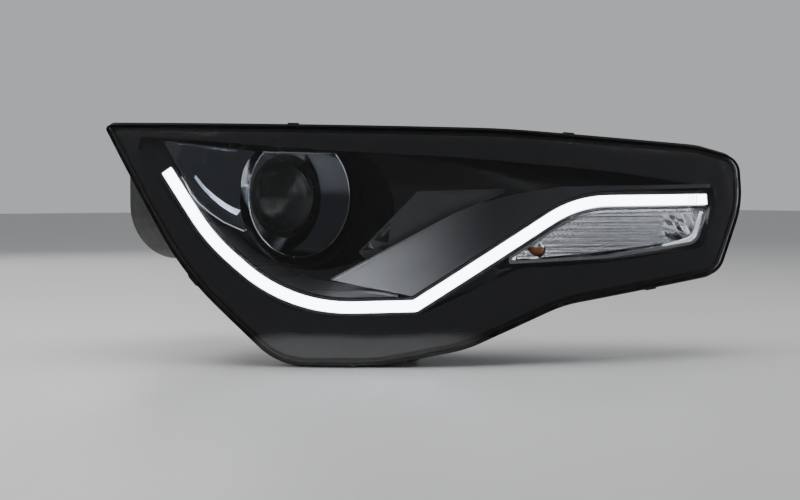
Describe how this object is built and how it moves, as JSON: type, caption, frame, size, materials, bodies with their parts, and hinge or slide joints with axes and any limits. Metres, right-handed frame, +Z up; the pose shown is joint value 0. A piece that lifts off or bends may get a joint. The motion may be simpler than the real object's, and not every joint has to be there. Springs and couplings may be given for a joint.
{
  "type": "headlight assembly",
  "caption": "Right-hand swept car headlight: clear cover, lit white guide, movable projector in a flat-topped ring, ribbed turn signal and sealed black housing.",
  "frame": {"origin": "centre of the lower end of the inboard upper mounting bush bore", "axes": "+X inboard across the car, +Y rearward, +Z up; the beam leaves along -Y"},
  "size_m": [0.5275, 0.4715, 0.2243],
  "materials": {
    "clear_cover": "clear moulded polycarbonate, gloss",
    "sealant": "black butyl bead",
    "housing": "textured black polypropylene",
    "bezel": "piano black",
    "guide": "clear light guide with a white glow",
    "satin_trim": "satin silver metallised plastic",
    "chrome_trim": "vacuum metallised",
    "spring_steel": "zinc plated",
    "circuit_case": "moulded black nylon",
    "lens_glass": "polished",
    "cast_aluminium": "die cast, slightly rough",
    "nylon": "natural nylon",
    "reflector_metal": "aluminised inside",
    "bulb_glass": "quartz",
    "cap_rubber": "matt black rubber",
    "amber_glass": "amber glass",
    "contacts": "bare contact pins"
  },
  "bodies": {
    "lamp": {"outer_lens": "clear_cover", "lens_sealant": "sealant", "rear_housing": "housing", "housing_back": "housing", "chamber_top": "housing", "chamber_floor": "housing", "chamber_wall_outboard": "housing", "chamber_wall_inboard": "housing", "chamber_back": "housing", "main_connector": "housing", "main_bezel": "bezel", "projector_collar": "bezel", "light_guide": "guide", "guide_carrier": "bezel", "wing_trim": "satin_trim", "side_mirror": "chrome_trim", "upper_facet": "bezel", "lower_bowl_trim": "satin_trim", "turn_reflector": "chrome_trim", "turn_frame": "bezel", "lens_clips": "spring_steel", "led_module_outboard": "circuit_case", "led_module_inboard": "circuit_case", "pivot_stud": "nylon", "levelling_motor": "circuit_case", "ballast": "cast_aluminium", "ballast_seal": "cap_rubber", "ballast_screws": "spring_steel", "drl_driver": "cast_aluminium", "driver_screws": "spring_steel", "lower_bracket": "spring_steel", "bracket_screws": "spring_steel", "vent_caps": "cap_rubber", "mount_bushes": "spring_steel", "connector_insert": "circuit_case", "connector_pins": "contacts"},
    "pivot": {"pivot_insert": "nylon"},
    "projector": {"carrier_frame": "cast_aluminium", "lens_holder": "cast_aluminium", "lens_retainer": "spring_steel", "projector_lens": "lens_glass", "projector_shroud": "chrome_trim", "shield_base": "spring_steel", "shutter_solenoid": "circuit_case", "ellipsoid_reflector": "reflector_metal", "projector_screws": "spring_steel", "bulb_base": "circuit_case", "xenon_bulb": "bulb_glass"},
    "cutoff_flap": {"shutter_flap": "spring_steel"},
    "plunger": {"solenoid_plunger": "spring_steel"},
    "lock_ring": {"bulb_lock_ring": "nylon"},
    "side_rod": {"horizontal_aim_rod": "nylon"},
    "side_gear": {"horizontal_aim_gear": "nylon"},
    "level_rod": {"levelling_rod": "nylon"},
    "level_screw": {"vertical_aim_screw": "nylon"},
    "service_cap": {"main_service_cap": "cap_rubber"},
    "turn_socket": {"turn_bulb_holder": "circuit_case", "turn_bulb": "amber_glass"}
  },
  "joints": [
    {"name": "aim_yaw", "type": "hinge", "parent": "lamp", "child": "pivot", "pos_m": [-0.2005, 0.16, 0.003], "axis": [0, 0, 1], "range_deg": [-2, 2]},
    {"name": "aim_pitch", "type": "hinge", "parent": "pivot", "child": "projector", "pos_m": [-0.2005, 0.16, 0.003], "axis": [1, 0, 0], "range_deg": [-2, 2]},
    {"name": "flap_turn", "type": "hinge", "parent": "projector", "child": "cutoff_flap", "pos_m": [-0.2585, 0.133, -0.077], "axis": [1, 0, 0], "range_deg": [0, 22]},
    {"name": "plunger_slide", "type": "slide", "parent": "projector", "child": "plunger", "axis": [0, 1, 0], "range_m": [0, 0.005]},
    {"name": "lock_ring_twist", "type": "hinge", "parent": "projector", "child": "lock_ring", "pos_m": [-0.2585, 0.208, -0.045], "axis": [0, 1, 0], "range_deg": [0, 20]},
    {"name": "side_rod_slide", "type": "slide", "parent": "lamp", "child": "side_rod", "axis": [0, 1, 0], "range_m": [-0.0043, 0.0043]},
    {"name": "side_gear_spin", "type": "hinge", "parent": "lamp", "child": "side_gear", "pos_m": [-0.3165, 0.261, 0.003], "axis": [0, 1, 0], "range_deg": [-125, 125]},
    {"name": "level_rod_slide", "type": "slide", "parent": "lamp", "child": "level_rod", "axis": [0, 1, 0], "range_m": [-0.0036, 0.0036]},
    {"name": "level_screw_spin", "type": "hinge", "parent": "lamp", "child": "level_screw", "pos_m": [-0.2005, 0.286, -0.093], "axis": [0, 1, 0], "range_deg": [-105, 105]},
    {"name": "service_cap_slide", "type": "slide", "parent": "lamp", "child": "service_cap", "axis": [0, 1, 0], "range_m": [0, 0.06]},
    {"name": "turn_socket_twist", "type": "hinge", "parent": "lamp", "child": "turn_socket", "pos_m": [-0.02634, 0.00483, -0.0935], "axis": [0.6157, 0.788, 0], "range_deg": [-45, 0]}
  ],
  "couplings": [
    {"joint": "side_rod_slide", "follows": "aim_yaw", "m_per_rad": -0.116},
    {"joint": "side_gear_spin", "follows": "aim_yaw", "ratio": -60},
    {"joint": "level_rod_slide", "follows": "aim_pitch", "m_per_rad": 0.096},
    {"joint": "level_screw_spin", "follows": "aim_pitch", "ratio": 50},
    {"joint": "plunger_slide", "follows": "flap_turn", "m_per_rad": 0.012}
  ]
}
